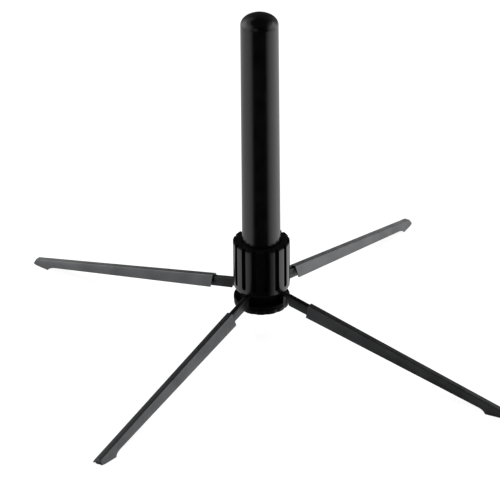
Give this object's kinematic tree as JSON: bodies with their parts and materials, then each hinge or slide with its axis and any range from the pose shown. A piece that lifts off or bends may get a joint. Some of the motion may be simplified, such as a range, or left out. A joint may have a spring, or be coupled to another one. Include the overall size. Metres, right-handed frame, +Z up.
{
  "type": "trumpet stand",
  "caption": "Slim black trumpet stand: a tall domed post for the bell, a fluted collar nut, a round hub and folding channel legs with padded feet.",
  "frame": {"origin": "on the floor plane, on the post's axis", "axes": "+Z up along the post; +X along leg 1, +Y along leg 2"},
  "size_m": [0.436, 0.436, 0.2747],
  "materials": {
    "post": "smooth satin black moulded plastic",
    "cap": "satin black moulded plastic",
    "collar": "glossy black moulded plastic",
    "hub": "semi-gloss black moulded plastic",
    "washer": "natural acetal",
    "sleeve": "satin dark grey coating on steel",
    "arm": "satin black coating on steel",
    "steel": "zinc-plated steel",
    "rubber": "matt black rubber"
  },
  "bodies": {
    "hub": {"hub_crown": "hub", "base_disc": "hub", "base_screw_1": "steel", "base_screw_2": "steel", "base_screw_3": "steel", "base_screw_4": "steel", "pivot_pin_1": "steel", "pivot_pin_2": "steel", "pivot_pin_3": "steel", "pivot_pin_4": "steel"},
    "post": {"post_tube": "post", "post_cap": "cap", "slip_washer": "washer"},
    "collar": {"collar_nut": "collar"},
    "leg_1": {"leg_arm_1": "arm", "leg_sleeve_1": "sleeve", "inner_rivet_1": "steel", "outer_rivet_1": "steel", "foot_pad_1": "rubber"},
    "leg_2": {"leg_arm_2": "arm", "leg_sleeve_2": "sleeve", "inner_rivet_2": "steel", "outer_rivet_2": "steel", "foot_pad_2": "rubber"},
    "leg_3": {"leg_arm_3": "arm", "leg_sleeve_3": "sleeve", "inner_rivet_3": "steel", "outer_rivet_3": "steel", "foot_pad_3": "rubber"},
    "leg_4": {"leg_arm_4": "arm", "leg_sleeve_4": "sleeve", "inner_rivet_4": "steel", "outer_rivet_4": "steel", "foot_pad_4": "rubber"}
  },
  "joints": [
    {"name": "leg_1_fold", "type": "hinge", "parent": "hub", "child": "leg_1", "pos_m": [0.0082, 0, 0.04445], "axis": [0, -1, 0], "range_deg": [0, 102.4]},
    {"name": "leg_2_fold", "type": "hinge", "parent": "hub", "child": "leg_2", "pos_m": [0, 0.0082, 0.04445], "axis": [1, 0, 0], "range_deg": [0, 102.4]},
    {"name": "leg_3_fold", "type": "hinge", "parent": "hub", "child": "leg_3", "pos_m": [-0.0082, 0, 0.04445], "axis": [0, 1, 0], "range_deg": [0, 102.4]},
    {"name": "leg_4_fold", "type": "hinge", "parent": "hub", "child": "leg_4", "pos_m": [0, -0.0082, 0.04445], "axis": [-1, 0, 0], "range_deg": [0, 102.4]},
    {"name": "post_lift", "type": "slide", "parent": "hub", "child": "post", "axis": [0, 0, 1], "range_m": [0, 0.245]},
    {"name": "collar_turn", "type": "hinge", "parent": "post", "child": "collar", "pos_m": [0, 0, 0.066], "axis": [0, 0, 1], "continuous": true}
  ],
  "couplings": [
    {"joint": "leg_2_fold", "follows": "leg_1_fold", "ratio": 1},
    {"joint": "leg_3_fold", "follows": "leg_1_fold", "ratio": 1},
    {"joint": "leg_4_fold", "follows": "leg_1_fold", "ratio": 1},
    {"joint": "post_lift", "follows": "leg_1_fold", "m_per_rad": 0.1343}
  ]
}
